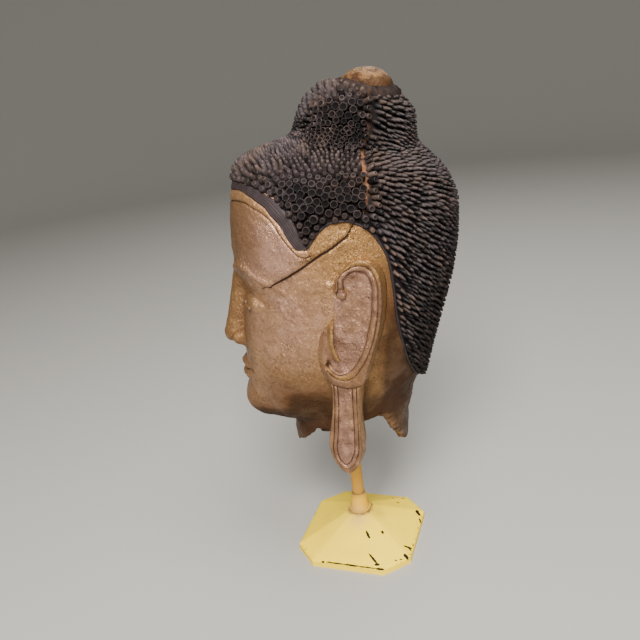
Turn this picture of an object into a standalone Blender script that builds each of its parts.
"""Lacquer Buddha head on a small painted stand.

The head is one hollow-necked lacquer solid, leaned a little backwards. It
stands on a vertical rod, which sits in a socket on an eight-sided plate.

The head is laid out in parts, as a carver's grid lays one out: the chin is at
part 0 and the top of the crown jewel at part 322. X is the width of the face,
-Y the way it looks and +Z up. All other sizes are metres.
"""

import math

import bmesh
import bpy
import numpy as np
from mathutils import Matrix, Vector

# The head as a whole
HEAD_HEIGHT = 0.322
HEAD_PARTS = 322.0
HEAD_LEAN = math.radians(5.5)
CHIN_HEIGHT = 0.158
NECK_WALL = 0.009
HOLLOW_TOP = 0.102

# The hair and the ears
SPIKE_LENGTH = 0.0085
COMB_BEHIND = Vector((0.0, 0.07, -0.175))
COMB_AHEAD = Vector((0.0, 0.035, 0.035))
EAR_THICKNESS = 0.0150

# The stand
PLATE_SIDE = 0.1214
PLATE_CORNER = 0.023
PLATE_EDGE = 0.0071
PLATE_RISE = 0.0257
PLATE_EDGE_BREAK = 0.0012
PLATE_SEAT_MARGIN = 0.0015
PLATE_TURN = math.radians(-21.2)
SOCKET_FOOT_DIAMETER = 0.0235
SOCKET_FOOT_HEIGHT = 0.0022
SOCKET_DIAMETER = 0.0182
SOCKET_NECK_DIAMETER = 0.0152
SOCKET_HEIGHT = 0.0205
SOCKET_FLOOR = 0.0085
SOCKET_EDGE_BREAK = 0.0006
SOCKET_FOOT_COVE = 0.0009
ROD_DIAMETER = 0.0125
ROD_END_BREAK = 0.0008

# Clearances between pieces that touch
FIT_GAP = 0.0003
BORE_GAP = 0.0004

# How finely the solids are faceted
HEAD_COLUMNS = 56
HEAD_ROWS = 40
NECK_ROWS = 3
FRONT_CROWDING = 0.30
EAR_ROWS = 26
EAR_SHARES = (-1.0, -0.88, -0.76, -0.63, -0.48, 0.0, 0.48, 0.63, 0.76, 0.88, 1.0)
ROUND_SIDES = 32
SHARP_ANGLE = math.radians(32)

# The rays that find the head's surface: share of the way down, the slope in
# degrees and the height on the head's core that they start from, in parts
RAY_SWEEP = np.array([
    (0.0, 90.0, 120.0),
    (0.6, -12.0, 120.0),
    (1.0, -50.0, 72.0),
])
CORE_BACK = 15.0
FIRST_RAY = 0.006
RAY_OUTSIDE = 260.0
RAY_INSIDE = 15.0
RAY_STEPS = 90
RAY_HALVINGS = 14

PART = HEAD_HEIGHT / HEAD_PARTS

# Height, front, back, half width and squareness of the head's rings, in parts
HEAD_RINGS = np.array([
    (-4.0, -58.0, 48.0, 22.0, 2.0),
    (0.0, -80.0, 54.0, 31.0, 2.0),
    (6.0, -90.0, 59.0, 39.0, 2.0),
    (15.0, -95.0, 63.0, 47.0, 2.0),
    (30.0, -96.5, 66.0, 57.0, 2.0),
    (51.0, -97.5, 72.0, 66.0, 2.05),
    (76.0, -98.5, 76.0, 73.5, 2.1),
    (102.0, -98.0, 81.0, 78.5, 2.2),
    (129.0, -98.5, 87.0, 81.5, 2.2),
    (153.0, -103.0, 91.5, 83.5, 2.2),
    (185.0, -105.0, 94.0, 84.5, 2.2),
    (210.0, -103.5, 93.0, 82.5, 2.2),
    (229.0, -99.5, 85.5, 75.0, 2.15),
    (240.0, -92.0, 77.0, 67.0, 2.1),
    (248.0, -79.0, 68.0, 58.0, 2.0),
    (254.0, -62.0, 61.0, 51.0, 2.0),
    (260.0, -46.0, 57.0, 46.5, 2.0),
    (268.0, -39.0, 55.0, 44.5, 2.0),
    (280.0, -35.5, 54.0, 43.0, 2.0),
    (292.0, -30.0, 50.0, 38.0, 2.0),
    (301.0, -21.0, 43.5, 30.0, 2.0),
    (307.0, -10.0, 38.0, 22.0, 2.0),
    (311.0, 4.0, 32.0, 12.0, 2.0),
])

# The hairline seen from the side, as distance back and height, in parts
HAIRLINE = np.array([
    (-130.0, 225.0),
    (-100.0, 225.0),
    (-87.0, 228.5),
    (-78.0, 228.0),
    (-70.0, 222.0),
    (-59.0, 210.0),
    (-51.0, 199.0),
    (-43.0, 188.5),
    (-39.0, 186.0),
    (-34.0, 191.0),
    (-27.0, 200.0),
    (-17.0, 206.5),
    (-4.0, 208.0),
    (6.0, 204.0),
    (14.0, 198.0),
    (22.0, 189.0),
    (28.0, 178.0),
    (32.0, 163.0),
    (35.5, 145.0),
    (39.0, 126.0),
    (44.0, 99.0),
    (50.0, 77.0),
    (59.0, 55.0),
    (70.0, 38.0),
    (90.0, 33.0),
    (130.0, 33.0),
])
HAIRLINE_SNAP = 4.3

# The broken rim of the neck: angle from the front in degrees, and height
NECK_RIM = np.array([
    (0.0, -20.0),
    (12.0, -26.5),
    (20.0, -22.5),
    (30.0, -11.5),
    (40.0, -7.0),
    (50.0, -2.5),
    (60.0, -1.5),
    (72.0, 1.0),
    (90.0, 9.0),
    (100.0, 16.0),
    (112.0, 17.0),
    (120.0, 10.0),
    (126.0, 3.0),
    (138.0, -6.5),
    (150.0, -18.5),
    (165.0, -31.0),
    (180.0, -34.0),
])
NECK_CENTRE = 4.0
NECK_HALF_DEPTH = 57.0
NECK_HALF_WIDTH = 52.0
NECK_TOP = 60.0
NECK_BLEND = 8.0

# The hollow in the neck: share of its height, and share of its width there
HOLLOW_PROFILE = ((0.0, 1.0), (0.35, 0.97), (0.75, 0.88), (1.0, 0.70))

# The face, in parts: places are (across, back, height), as on the right half
BROW_PEAK = (37.0, 160.0)
BROW_HALF_SPAN = 33.0
BROW_FALL = 13.0
BROW_RISE = 2.6
BROW_HALF_HEIGHT = 3.8
BROW_INNER_END = (3.0, 9.0)
BROW_OUTER_FADE = 12.0
SOCKET_CENTRE = (30.0, 133.0)
SOCKET_SPREAD = (21.0, 13.0)
SOCKET_SINK = 6.5
LID_CENTRE = (31.0, -76.0, 126.5)
LID_RADII = (21.0, 17.0, 12.0)
NOSE_RADIUS = 8.5
NOSE_END_RADIUS = 9.5
NOSE_BLEND = 3.0
NOSTRIL_BLEND = 6.0
NOSE_BASE_BLEND = 2.0
NOSE_FOOT_BLEND = 5.5
LIP_BLEND = 3.0
PARTING_HALF_HEIGHT = 1.6
PARTING_DEPTH = 2.2
MOUTH_HALF_WIDTH = 27.0
MOUTH_CORNER_FADE = 5.0
PHILTRUM_DEPTH = 1.3
CHIN_BLEND = 12.0
LID_FOLD_HEIGHT = 134.0
LID_FOLD_SPREAD = (20.0, 2.2)
CHEEK_CENTRE = (38.0, 88.0)
CHEEK_SPREAD = (20.0, 24.0)
CHEEK_RISE = 2.0
NOSE_ROOT = (0.0, -96.0, 152.0)
NOSE_TIP = (0.0, -107.0, 94.0)
NOSE_END = (0.0, -109.0, 85.5)
NOSE_BASE = 76.5
NOSTRIL_CENTRE = (11.5, -100.0, 84.0)
NOSTRIL_RADII = (7.5, 10.0, 7.5)
PHILTRUM_FOOT = 59.5
PHILTRUM_SPREAD = (3.2, 6.0)
UPPER_LIP = ((0.0, -98.0, 56.5), (12.0, -94.5, 56.0), (24.0, -86.5, 54.5))
UPPER_LIP_RADII = (5.0, 4.4, 1.8)
LOWER_LIP = ((0.0, -96.5, 45.0), (11.0, -93.5, 46.0), (23.0, -86.5, 52.5))
LOWER_LIP_RADII = (6.0, 5.0, 1.8)
MOUTH_HEIGHT = 51.0
CHIN_CENTRE = (0.0, -81.0, 18.0)
CHIN_RADII = (19.0, 18.0, 15.0)
FACE_HALF_WIDTH = 50.0
FACE_DEPTH = -50.0
FACE_HEIGHTS = (34.0, 168.0)

# The low dome on the crown, in parts
JEWEL_CENTRE = (0.0, 18.5, 306.0)
JEWEL_RADII = (23.4, 23.4, 16.0)

# The ear's outline from its top to its tip: height, front edge, rear edge
EAR_OUTLINE = np.array([
    (177.0, 2.0, 6.0),
    (174.0, -4.0, 12.0),
    (169.0, -9.5, 16.5),
    (163.0, -14.0, 18.6),
    (156.0, -17.2, 19.8),
    (143.0, -18.5, 20.3),
    (125.0, -19.2, 19.3),
    (116.0, -24.0, 17.8),
    (102.0, -29.0, 15.2),
    (85.0, -30.0, 11.2),
    (74.0, -29.4, 7.5),
    (67.0, -26.0, 4.5),
    (61.0, -21.5, 3.1),
    (50.0, -19.6, 2.4),
    (35.0, -19.9, 1.7),
    (20.0, -21.5, 2.8),
    (3.0, -23.3, 4.5),
    (-8.0, -22.0, 4.4),
    (-16.0, -18.5, 2.4),
    (-23.0, -13.5, -1.2),
    (-28.5, -8.5, -5.0),
])
EAR_STANDS_OUT = 84.0
EAR_PIVOT = -8.0
EAR_FLARE = 0.42
EAR_HANG_BELOW = 60.0
EAR_HANG = 0.055
EAR_WAIST = 66.0
EAR_RIM_RISE = 2.4
EAR_SECOND_RISE = 1.6
EAR_PANEL_SINK = 1.6


def start_clean():
    """Remove everything from the scene."""
    for old in list(bpy.data.objects):
        bpy.data.objects.remove(old, do_unlink=True)


def finish(name, colour, roughness, metallic=0.0):
    """A plain coloured finish."""
    material = bpy.data.materials.new(name)
    material.use_nodes = True
    shader = material.node_tree.nodes["Principled BSDF"]
    shader.inputs["Base Color"].default_value = (*colour, 1.0)
    shader.inputs["Roughness"].default_value = roughness
    shader.inputs["Metallic"].default_value = metallic
    material.diffuse_color = (*colour, 1.0)
    return material


def object_from(name, bm, material):
    """Turn a bmesh into a named, smooth shaded object."""
    bmesh.ops.recalc_face_normals(bm, faces=bm.faces[:])
    mesh = bpy.data.meshes.new(name)
    bm.to_mesh(mesh)
    bm.free()
    mesh.shade_smooth()
    mesh.set_sharp_from_angle(angle=SHARP_ANGLE)
    piece = bpy.data.objects.new(name, mesh)
    bpy.context.collection.objects.link(piece)
    mesh.materials.append(material)
    return piece


def smooth_steps(x, knots, values):
    """Read a smooth curve through the knots that never overshoots them."""
    x = np.clip(x, knots[0], knots[-1])
    gap = np.diff(knots)
    rise = np.diff(values) / gap
    slope = np.zeros_like(values)
    turning = rise[:-1] * rise[1:] <= 0.0
    harmonic = 2.0 * rise[:-1] * rise[1:] / np.where(turning, 1.0, rise[:-1] + rise[1:])
    slope[1:-1] = np.where(turning, 0.0, harmonic)
    slope[0] = rise[0]
    slope[-1] = rise[-1]
    i = np.clip(np.searchsorted(knots, x) - 1, 0, len(knots) - 2)
    t = (x - knots[i]) / gap[i]
    return (
        values[i] * (1 + 2 * t) * (1 - t) ** 2
        + slope[i] * gap[i] * t * (1 - t) ** 2
        + values[i + 1] * t * t * (3 - 2 * t)
        + slope[i + 1] * gap[i] * t * t * (t - 1)
    )


def blend(a, b, softness):
    """Smooth union of two distance fields."""
    h = np.clip(0.5 + 0.5 * (b - a) / softness, 0.0, 1.0)
    return b * (1 - h) + a * h - softness * h * (1 - h)


def limb(p, a, b, radius_a, radius_b):
    """Distance to a round limb that tapers from a to b."""
    a = np.array(a, float)
    b = np.array(b, float)
    way = b - a
    along = np.clip(((p - a) @ way) / (way @ way), 0.0, 1.0)
    return np.linalg.norm(p - a - along[..., None] * way, axis=-1) - (
        radius_a + (radius_b - radius_a) * along
    )


def egg(p, centre, radii):
    """Rough distance to an ellipsoid."""
    q = (p - np.array(centre, float)) / np.array(radii, float)
    return (np.linalg.norm(q, axis=-1) - 1.0) * min(radii)


def hump(value, centre, width):
    """A bell shaped weight."""
    return np.exp(-(((value - centre) / width) ** 2))


def ring_body(p):
    """Distance to the stack of rings that gives the head its mass."""
    z = p[..., 2]
    knots = HEAD_RINGS[:, 0]
    front = -smooth_steps(z, knots, HEAD_RINGS[:, 1])
    back = smooth_steps(z, knots, HEAD_RINGS[:, 2])
    half = smooth_steps(z, knots, HEAD_RINGS[:, 3])
    square = smooth_steps(z, knots, HEAD_RINGS[:, 4])
    depth = np.where(p[..., 1] < 0.0, front, back)
    depth = np.where(depth > 1.0, depth, 1.0)
    ratio = (np.abs(p[..., 0]) / half) ** square + (np.abs(p[..., 1]) / depth) ** square
    wall = (ratio ** (1.0 / square) - 1.0) * 0.5 * (half + depth)
    over = np.maximum(z - knots[-1], knots[0] - z)
    return np.maximum(wall, over)


def neck_body(p):
    """Distance to the round neck."""
    x = p[..., 0] / NECK_HALF_WIDTH
    y = (p[..., 1] - NECK_CENTRE) / NECK_HALF_DEPTH
    wall = (np.hypot(x, y) - 1.0) * 0.5 * (NECK_HALF_WIDTH + NECK_HALF_DEPTH)
    return np.maximum(wall, p[..., 2] - NECK_TOP)


def brow_height(across):
    """Height of the brow's arch at a distance across the face."""
    return BROW_PEAK[1] - BROW_FALL * ((across - BROW_PEAK[0]) / BROW_HALF_SPAN) ** 2


def lip(q, places, radii):
    """Distance to half a lip, from its middle through its swell to the mouth's corner."""
    middle, swell, corner = places
    inner = limb(q, middle, swell, radii[0], radii[1])
    return blend(inner, limb(q, swell, corner, radii[1], radii[2]), 3.0)


def face_features(p, body):
    """Carve the face into the head: brows, lids, nose, lips and chin."""
    across = np.abs(p[..., 0])
    height = p[..., 2]
    ahead = np.clip((-p[..., 1] - 30.0) / 25.0, 0.0, 1.0)
    q = np.stack([across, p[..., 1], height], -1)

    socket = hump(across, SOCKET_CENTRE[0], SOCKET_SPREAD[0])
    socket = socket * hump(height, SOCKET_CENTRE[1], SOCKET_SPREAD[1])
    cheek = hump(across, CHEEK_CENTRE[0], CHEEK_SPREAD[0])
    cheek = cheek * hump(height, CHEEK_CENTRE[1], CHEEK_SPREAD[1])
    body = body + (SOCKET_SINK * socket - CHEEK_RISE * cheek) * ahead

    body = blend(body, egg(q, LID_CENTRE, LID_RADII), 4.0)
    fold_line = LID_FOLD_HEIGHT - 0.006 * (across - LID_CENTRE[0]) ** 2
    fold = hump(height, fold_line, LID_FOLD_SPREAD[1])
    fold = fold * hump(across, LID_CENTRE[0], LID_FOLD_SPREAD[0])
    body = body + 1.6 * fold * ahead

    inner_end = np.clip((across - BROW_INNER_END[0]) / BROW_INNER_END[1], 0.0, 1.0)
    outer_end = np.clip((BROW_PEAK[0] + 1.09 * BROW_HALF_SPAN - across) / BROW_OUTER_FADE, 0.0, 1.0)
    brow = hump(height, brow_height(across), BROW_HALF_HEIGHT) * inner_end * outer_end
    body = body - BROW_RISE * brow * ahead

    nose = limb(q, NOSE_ROOT, NOSE_TIP, NOSE_RADIUS, NOSE_RADIUS)
    nose = blend(nose, limb(q, NOSE_TIP, NOSE_END, NOSE_RADIUS, NOSE_END_RADIUS), NOSE_BLEND)
    nose = blend(nose, egg(q, NOSTRIL_CENTRE, NOSTRIL_RADII), NOSTRIL_BLEND)
    nose = -blend(-nose, height - NOSE_BASE, NOSE_BASE_BLEND)
    body = blend(body, nose, NOSE_FOOT_BLEND)

    upper = lip(q, UPPER_LIP, UPPER_LIP_RADII)
    lower = lip(q, LOWER_LIP, LOWER_LIP_RADII)
    body = blend(body, np.minimum(upper, lower), LIP_BLEND)
    parting = hump(height, MOUTH_HEIGHT + 0.005 * across**2, PARTING_HALF_HEIGHT)
    corner = np.clip((MOUTH_HALF_WIDTH - across) / MOUTH_CORNER_FADE, 0.0, 1.0)
    body = body + PARTING_DEPTH * parting * corner * ahead
    middle = 0.5 * (NOSE_BASE + PHILTRUM_FOOT)
    groove = hump(across, 0.0, PHILTRUM_SPREAD[0]) * hump(height, middle, PHILTRUM_SPREAD[1])
    body = body + PHILTRUM_DEPTH * groove * ahead

    return blend(body, egg(q, CHIN_CENTRE, CHIN_RADII), CHIN_BLEND)


def jewel_body(p):
    """Distance to the low dome on the crown."""
    return egg(p, JEWEL_CENTRE, JEWEL_RADII)


def head_field(p):
    """Signed distance to the head's outside, in parts, below zero inside."""
    body = face_features(p, ring_body(p))
    body = blend(body, neck_body(p), NECK_BLEND)
    return np.minimum(body, jewel_body(p))


def cast_rays(origin, direction):
    """Find where each ray last leaves the head."""
    steps = np.linspace(RAY_OUTSIDE, RAY_INSIDE, RAY_STEPS)
    hit = np.full(origin.shape[:-1], steps[-1])
    found = np.zeros(origin.shape[:-1], bool)
    for step in steps[1:]:
        inside = head_field(origin + direction * step) < 0.0
        hit = np.where(inside & ~found, step, hit)
        found |= inside
    low = hit
    high = hit + (steps[0] - steps[1])
    for _ in range(RAY_HALVINGS):
        middle = 0.5 * (low + high)
        inside = head_field(origin + direction * middle[..., None]) < 0.0
        low = np.where(inside, middle, low)
        high = np.where(inside, high, middle)
    return origin + direction * (0.5 * (low + high))[..., None]


def column_angles(count):
    """Angles round the head from the front, closer together on the face."""
    turn = np.arange(count) / count * 2.0 * math.pi
    return turn - FRONT_CROWDING * np.sin(turn)


def rim_height(angle):
    """Height of the broken neck at an angle from the front, in parts."""
    degrees = np.degrees(np.abs((angle + math.pi) % (2 * math.pi) - math.pi))
    ragged = 2.2 * np.sin(9.0 * angle + 0.7) + 1.6 * np.sin(17.0 * angle + 2.0)
    return smooth_steps(degrees, NECK_RIM[:, 0], NECK_RIM[:, 1]) + ragged


def neck_reach(angle, inset=0.0):
    """Distance from the neck's centre to its wall, in parts."""
    wide = (NECK_HALF_WIDTH - inset) ** 2
    deep = (NECK_HALF_DEPTH - inset) ** 2
    return 1.0 / np.sqrt(np.sin(angle) ** 2 / wide + np.cos(angle) ** 2 / deep)


def ray_at(share):
    """Slope and start height of the rays at a share of the way down."""
    slope = np.radians(np.interp(share, RAY_SWEEP[:, 0], RAY_SWEEP[:, 1]))
    return slope, np.interp(share, RAY_SWEEP[:, 0], RAY_SWEEP[:, 2])


def even_shares(rows):
    """Shares of the way down that cut the head's side into even rows."""
    share = np.linspace(0.0, 1.0, 600)
    slope, height = ray_at(share)
    flat = np.zeros_like(share)
    side = np.stack([np.cos(slope), flat, np.sin(slope)], -1)
    outline = cast_rays(np.stack([flat, flat + CORE_BACK, height], -1), side)
    steps = np.linalg.norm(np.diff(outline, axis=0), axis=1)
    length = np.concatenate([[0.0], np.cumsum(steps)])
    even = np.interp(np.linspace(0.0, length[-1], rows), length, share)
    even[0] = FIRST_RAY
    return even


def row_rays(angles, rows):
    """Rays from the crown to the neck's rim, one row after another.

    The rays sweep down from the crown, and look down on the underside of the
    nose, lips and chin. On the neck they keep their slope and only sink.
    """
    count = len(angles)
    way = np.stack([np.sin(angles), -np.cos(angles)], -1)
    slopes, heights = ray_at(even_shares(rows - NECK_ROWS + 1))
    away = neck_reach(angles) + (CORE_BACK - NECK_CENTRE) * np.cos(angles)
    lowest = rim_height(angles) + away * math.tan(-slopes[-1])
    starts = [np.full(count, height) for height in heights]
    for k in range(1, NECK_ROWS + 1):
        starts.append(heights[-1] + (lowest - heights[-1]) * k / NECK_ROWS)
    origins = []
    directions = []
    for start, slope in zip(starts, np.append(slopes, np.full(NECK_ROWS, slopes[-1]))):
        origins.append(np.column_stack([np.zeros(count), np.full(count, CORE_BACK), start]))
        directions.append(np.column_stack([math.cos(slope) * way, np.full(count, math.sin(slope))]))
    return np.array(origins), np.array(directions)


def is_hair(p):
    """Whether a point of the head, in parts, lies above the hairline."""
    line = smooth_steps(p[..., 1], HAIRLINE[:, 0], HAIRLINE[:, 1])
    on_jewel = jewel_body(p) < 1.5
    return (p[..., 2] > line) & ~on_jewel


def to_world(p):
    """From the head's parts to metres in the object's own frame."""
    p = np.asarray(p, float) * PART
    y = p[..., 1] * math.cos(HEAD_LEAN) + p[..., 2] * math.sin(HEAD_LEAN)
    z = p[..., 2] * math.cos(HEAD_LEAN) - p[..., 1] * math.sin(HEAD_LEAN) + CHIN_HEIGHT
    return np.stack([p[..., 0], y, z], -1)


def head_shell():
    """The outside of the head as a bmesh in parts, with its rim loop."""
    angles = column_angles(HEAD_COLUMNS)
    origins, directions = row_rays(angles, HEAD_ROWS)
    grid = cast_rays(origins, directions)
    bm = bmesh.new()
    rows = [[bm.verts.new(point) for point in row] for row in grid]
    for upper, lower in zip(rows[:-1], rows[1:]):
        for i in range(HEAD_COLUMNS):
            j = (i + 1) % HEAD_COLUMNS
            bm.faces.new((upper[i], upper[j], lower[j], lower[i]))
    bm.faces.new(rows[0][::-1])
    return bm, rows[-1]


def settle(points):
    """Bring points near the head's surface onto it."""
    step = 0.25
    for _ in range(6):
        value = head_field(points)
        slope = np.stack(
            [(head_field(points + axis) - head_field(points - axis)) / (2 * step)
             for axis in np.eye(3) * step], -1)
        points = points - (value / np.maximum((slope**2).sum(-1), 0.2))[:, None] * slope
    return points


def snap_to_hairline(bm):
    """Draw the vertices nearest the hairline onto it, so that it runs clean."""
    back = np.linspace(-110.0, 100.0, 900)
    line = np.stack([back, smooth_steps(back, HAIRLINE[:, 0], HAIRLINE[:, 1])], -1)
    points = np.array([vertex.co for vertex in bm.verts])
    offset = line[None, :, :] - points[:, None, 1:]
    distance = np.linalg.norm(offset, axis=-1)
    nearest = distance.argmin(axis=1)
    rows = np.arange(len(points))
    chosen = distance[rows, nearest] < HAIRLINE_SNAP
    points[:, 1:] += offset[rows, nearest] * chosen[:, None]
    moved = settle(points[chosen])
    for index, point in zip(np.flatnonzero(chosen), moved):
        bm.verts[index].co = point


def refine_face(bm):
    """Split the quads round the eyes, nose and mouth, and settle them."""
    old = {vertex.co.to_tuple(4) for vertex in bm.verts}
    edges = set()
    low, high = FACE_HEIGHTS
    for face in bm.faces:
        x, y, z = face.calc_center_median()
        if abs(x) < FACE_HALF_WIDTH and y < FACE_DEPTH and low < z < high:
            edges.update(face.edges)
    bmesh.ops.subdivide_edges(bm, edges=list(edges), cuts=1, use_grid_fill=True)
    new = [vertex for vertex in bm.verts if vertex.co.to_tuple(4) not in old]
    points = settle(np.array([vertex.co for vertex in new]))
    for vertex, point in zip(new, points):
        vertex.co = point


def raise_spikes(bm):
    """Draw each quad of the hair out into one blunt spike."""
    centres = np.array([face.calc_center_median() for face in bm.faces])
    hair = is_hair(centres) & (np.abs(head_field(centres)) < 0.5 * NECK_WALL / PART)
    faces = [face for face, yes in zip(bm.faces, hair) if yes and len(face.verts) == 4]
    normals = [face.normal.copy() for face in faces]
    result = bmesh.ops.poke(bm, faces=faces)
    length = SPIKE_LENGTH / PART
    for tip, normal in zip(result["verts"], normals):
        comb = COMB_BEHIND if tip.co.y > 0.0 else COMB_AHEAD
        tip.co += (normal + comb).normalized() * length


def neck_hollow(bm, rim):
    """Close the shell inwards: a broken rim and a hollow up to the rod's end."""
    angles = column_angles(HEAD_COLUMNS)
    wall = NECK_WALL / PART
    reach = neck_reach(angles, wall)
    way = np.stack([np.sin(angles), -np.cos(angles)], -1)
    loops = [rim]
    for share, narrowing in HOLLOW_PROFILE:
        loop = []
        for i in range(HEAD_COLUMNS):
            x = way[i, 0] * reach[i] * narrowing
            y = NECK_CENTRE + way[i, 1] * reach[i] * narrowing
            low = rim_height(angles[i]) + 1.5
            high = (HOLLOW_TOP / PART + y * math.sin(HEAD_LEAN)) / math.cos(HEAD_LEAN)
            loop.append(bm.verts.new((x, y, low + (high - low) * share)))
        loops.append(loop)
    for outer, inner in zip(loops[:-1], loops[1:]):
        for i in range(HEAD_COLUMNS):
            j = (i + 1) % HEAD_COLUMNS
            bm.faces.new((outer[i], outer[j], inner[j], inner[i]))
    bm.faces.new(loops[-1])


def ear_plane(y, z):
    """How far out the ear's face stands at a place on it, in parts."""
    return (
        EAR_STANDS_OUT + EAR_FLARE * (y - EAR_PIVOT)
        - EAR_HANG * np.maximum(0.0, EAR_HANG_BELOW - z)
    )


def ring_of(share, inner, outer, softness):
    """Weight of a band between two shares of the ear's half width."""
    rise = np.clip((share - inner) / softness + 0.5, 0.0, 1.0)
    fall = np.clip((outer - share) / softness + 0.5, 0.0, 1.0)
    return rise * fall


def ear_relief(share, z):
    """Height of the ear's carving over its face, in parts.

    The share runs from -1 at the front edge to 1 at the rear edge. The bowl
    has a rolled rim and a second rim inside it, and the lobe has one rim.
    """
    edge = np.abs(share)
    below_top = EAR_OUTLINE[0, 0] - z
    bowl = np.clip((z - EAR_WAIST) / 4.0, 0.0, 1.0)
    rim = EAR_RIM_RISE * ring_of(edge, 0.84, 1.2, 0.08)
    second = EAR_SECOND_RISE * ring_of(edge, 0.56, 0.70, 0.08) * bowl
    panel = EAR_PANEL_SINK * ring_of(edge, -1.0, 0.56, 0.1) * np.clip((below_top - 6.0) / 6.0, 0.0, 1.0)
    waist = EAR_RIM_RISE * hump(z, EAR_WAIST, 5.0)
    ends = np.clip(np.minimum(below_top, z - EAR_OUTLINE[-1, 0]) / 6.0, 0.0, 1.0)
    return np.maximum(rim + second - panel, waist) * ends


def build_ear(side, material):
    """One long pendant ear: a thick slab with its carving on the outer face."""
    heights = EAR_OUTLINE[::-1, 0]
    turn = np.linspace(0.0, math.pi, EAR_ROWS)
    levels = 0.5 * (heights[-1] + heights[0]) + 0.5 * (heights[-1] - heights[0]) * np.cos(turn)
    fore = smooth_steps(levels, heights, EAR_OUTLINE[::-1, 1])
    aft = smooth_steps(levels, heights, EAR_OUTLINE[::-1, 2])
    deep = EAR_THICKNESS / PART
    bm = bmesh.new()
    face = []
    back = []
    for z, front_y, rear_y in zip(levels, fore, aft):
        row = []
        for share in EAR_SHARES:
            y = 0.5 * (front_y + rear_y) + 0.5 * share * (rear_y - front_y)
            row.append(bm.verts.new((side * (ear_plane(y, z) + ear_relief(share, z)), y, z)))
        face.append(row)
        back.append([
            bm.verts.new((side * (ear_plane(y, z) - deep), y + EAR_FLARE * deep, z))
            for y in (front_y, rear_y)
        ])
    last = len(EAR_SHARES) - 1
    for i in range(EAR_ROWS - 1):
        for j in range(last):
            bm.faces.new((face[i][j], face[i + 1][j], face[i + 1][j + 1], face[i][j + 1]))
        bm.faces.new((face[i][0], face[i + 1][0], back[i + 1][0], back[i][0]))
        bm.faces.new((face[i][last], face[i + 1][last], back[i + 1][1], back[i][1]))
        bm.faces.new((back[i][0], back[i][1], back[i + 1][1], back[i + 1][0]))
    for i in (0, EAR_ROWS - 1):
        bm.faces.new(face[i] + back[i][::-1])
    place_in_world(bm)
    ear = object_from("ear_tool", bm, material)
    ear.hide_render = True
    ear.display_type = "WIRE"
    return ear


def place_in_world(bm):
    """Carry a mesh from the head's parts to its place in metres."""
    for vertex in bm.verts:
        vertex.co = to_world(vertex.co)


def build_head(material):
    """The lacquer head: shell, hair spikes, hollow neck and joined ears."""
    bm, rim = head_shell()
    bm.verts.ensure_lookup_table()
    snap_to_hairline(bm)
    neck_hollow(bm, rim)
    refine_face(bm)
    bmesh.ops.recalc_face_normals(bm, faces=bm.faces[:])
    bm.normal_update()
    raise_spikes(bm)
    place_in_world(bm)
    head = object_from("head", bm, material)
    for side in (-1.0, 1.0):
        union = head.modifiers.new("ear", "BOOLEAN")
        union.operation = "UNION"
        union.object = build_ear(side, material)
    return head


def plate_outline(side, corner):
    """The plate's eight corners: a square with its own corners cut off."""
    half = side / 2
    inner = half - corner
    points = []
    for a, b in ((half, -inner), (half, inner), (inner, half), (-inner, half),
                 (-half, inner), (-half, -inner), (-inner, -half), (inner, -half)):
        points.append((a, b))
    return points


def build_plate(material):
    """The eight-sided foot: a flat edge, then eight slopes up to the socket."""
    bm = bmesh.new()
    seat = SOCKET_FOOT_DIAMETER / 2 + PLATE_SEAT_MARGIN
    levels = (
        (plate_outline(PLATE_SIDE, PLATE_CORNER), 0.0),
        (plate_outline(PLATE_SIDE, PLATE_CORNER), PLATE_EDGE - PLATE_EDGE_BREAK),
        (plate_outline(PLATE_SIDE - 2 * PLATE_EDGE_BREAK, PLATE_CORNER), PLATE_EDGE),
    )
    loops = [[bm.verts.new((x, y, z)) for x, y in outline] for outline, z in levels]
    top = []
    for x, y in plate_outline(PLATE_SIDE, PLATE_CORNER):
        away = math.hypot(x, y)
        top.append(bm.verts.new((x / away * seat, y / away * seat, PLATE_EDGE + PLATE_RISE)))
    loops.append(top)
    for lower, upper in zip(loops[:-1], loops[1:]):
        for i in range(8):
            j = (i + 1) % 8
            bm.faces.new((lower[i], lower[j], upper[j], upper[i]))
    bm.faces.new(loops[0][::-1])
    bm.faces.new(top)
    bmesh.ops.rotate(bm, verts=bm.verts[:], matrix=Matrix.Rotation(PLATE_TURN, 3, "Z"))
    return object_from("stand_plate", bm, material)


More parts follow.
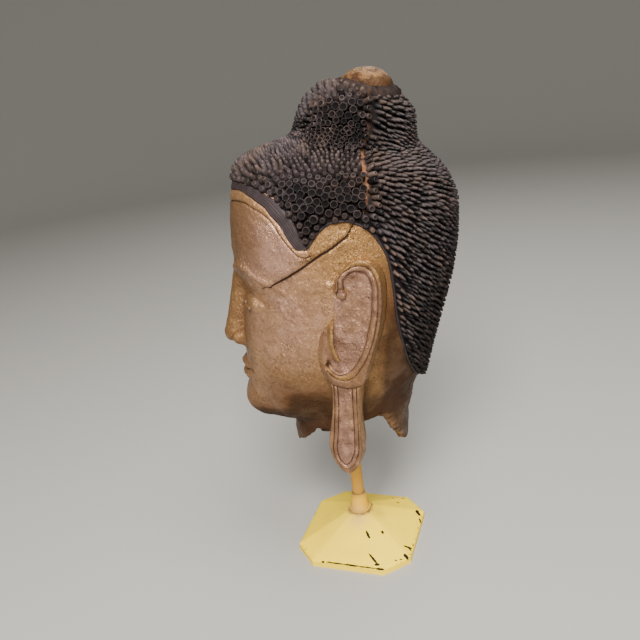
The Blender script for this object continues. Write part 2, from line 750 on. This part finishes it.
def turned(name, profile, material):
    """A solid turned from its outer profile, bottom to top, about the Z axis."""
    bm = bmesh.new()
    loops = []
    for radius, z in profile:
        loop = []
        for k in range(ROUND_SIDES):
            angle = 2 * math.pi * k / ROUND_SIDES
            loop.append(bm.verts.new((radius * math.cos(angle), radius * math.sin(angle), z)))
        loops.append(loop)
    for lower, upper in zip(loops[:-1], loops[1:]):
        for i in range(ROUND_SIDES):
            j = (i + 1) % ROUND_SIDES
            bm.faces.new((lower[i], lower[j], upper[j], upper[i]))
    bm.faces.new(loops[0][::-1])
    bm.faces.new(loops[-1])
    return object_from(name, bm, material)


def build_socket(material):
    """The tapered socket on the plate, with a foot ring and a bore for the rod."""
    foot = SOCKET_FOOT_DIAMETER / 2
    body = SOCKET_DIAMETER / 2
    neck = SOCKET_NECK_DIAMETER / 2
    bore = ROD_DIAMETER / 2 + BORE_GAP
    base = PLATE_EDGE + PLATE_RISE + FIT_GAP
    top = base + SOCKET_HEIGHT
    floor = base + SOCKET_FLOOR
    ring_top = base + SOCKET_FOOT_HEIGHT
    profile = (
        (foot, base),
        (foot, ring_top - SOCKET_EDGE_BREAK),
        (foot - SOCKET_EDGE_BREAK, ring_top),
        (body, ring_top + SOCKET_FOOT_COVE),
        (neck, top - SOCKET_EDGE_BREAK),
        (neck - SOCKET_EDGE_BREAK, top),
        (bore, top),
        (bore, floor),
    )
    return turned("stand_socket", profile, material), floor


def build_rod(material, floor):
    """The upright rod, from the socket's floor to the hollow's ceiling."""
    radius = ROD_DIAMETER / 2
    low = floor + FIT_GAP
    high = CHIN_HEIGHT + HOLLOW_TOP - FIT_GAP
    profile = (
        (radius - ROD_END_BREAK, low),
        (radius, low + ROD_END_BREAK),
        (radius, high - ROD_END_BREAK),
        (radius - ROD_END_BREAK, high),
    )
    return turned("stand_rod", profile, material)


def main():
    """Build the head and its stand."""
    start_clean()
    lacquer = finish("worn gilt lacquer", (0.30, 0.19, 0.10), 0.45, 0.35)
    paint = finish("yellow paint", (0.86, 0.72, 0.30), 0.5)
    build_head(lacquer)
    build_plate(paint)
    _, floor = build_socket(paint)
    build_rod(paint, floor)


main()
